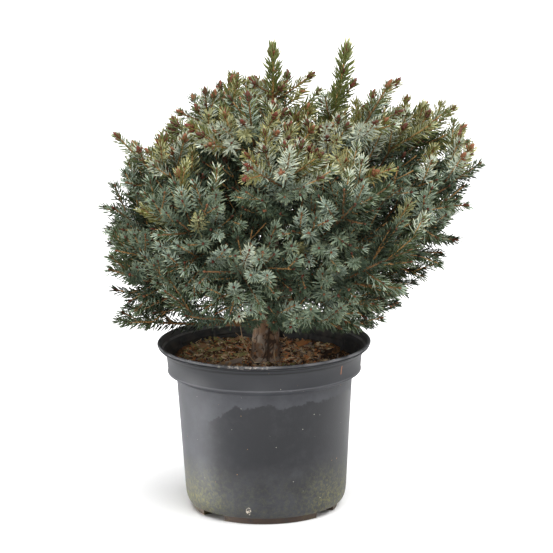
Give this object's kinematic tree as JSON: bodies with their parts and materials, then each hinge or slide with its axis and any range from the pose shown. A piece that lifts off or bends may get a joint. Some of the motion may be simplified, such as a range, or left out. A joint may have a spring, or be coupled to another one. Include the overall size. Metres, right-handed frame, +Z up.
{
  "type": "potted dwarf spruce",
  "caption": "Dwarf spruce with dense blue-green needles on tiered boughs round a short trunk, growing in a round black nursery pot filled with bark compost.",
  "frame": {"origin": "centre of the pot's underside, where it stands on the ground", "axes": "+Z up along the trunk, -Y towards the side that the picture shows, +X to the right of that side"},
  "size_m": [0.4181, 0.3822, 0.5172],
  "materials": {
    "pot": "matt, dusty and stained",
    "soil": "rough bark compost",
    "trunk": "flaky bark",
    "boughs": "thin bark",
    "needles": "waxy"
  },
  "bodies": {
    "root": {"bough_lower_1": "boughs", "bough_lower_2": "boughs", "bough_lower_3": "boughs", "bough_lower_4": "boughs", "bough_lower_5": "boughs", "bough_lower_6": "boughs", "bough_lower_7": "boughs", "bough_middle_1": "boughs", "bough_middle_2": "boughs", "bough_middle_3": "boughs", "bough_middle_4": "boughs", "bough_middle_5": "boughs", "bough_middle_6": "boughs", "bough_second_leader": "boughs", "bough_skirt_1": "boughs", "bough_skirt_2": "boughs", "bough_skirt_3": "boughs", "bough_skirt_4": "boughs", "bough_skirt_5": "boughs", "bough_skirt_6": "boughs", "bough_top_1": "boughs", "bough_top_2": "boughs", "bough_top_3": "boughs", "bough_top_4": "boughs", "bough_upper_1": "boughs", "bough_upper_2": "boughs", "bough_upper_3": "boughs", "bough_upper_4": "boughs", "foliage_leader": "needles", "foliage_lower_1": "needles", "foliage_lower_2": "needles", "foliage_lower_3": "needles", "foliage_lower_4": "needles", "foliage_lower_5": "needles", "foliage_lower_6": "needles", "foliage_lower_7": "needles", "foliage_middle_1": "needles", "foliage_middle_2": "needles", "foliage_middle_3": "needles", "foliage_middle_4": "needles", "foliage_middle_5": "needles", "foliage_middle_6": "needles", "foliage_second_leader": "needles", "foliage_skirt_1": "needles", "foliage_skirt_2": "needles", "foliage_skirt_3": "needles", "foliage_skirt_4": "needles", "foliage_skirt_5": "needles", "foliage_skirt_6": "needles", "foliage_top_1": "needles", "foliage_top_2": "needles", "foliage_top_3": "needles", "foliage_top_4": "needles", "foliage_upper_1": "needles", "foliage_upper_2": "needles", "foliage_upper_3": "needles", "foliage_upper_4": "needles", "pot": "pot", "soil": "soil", "trunk": "trunk"}
  },
  "joints": []
}
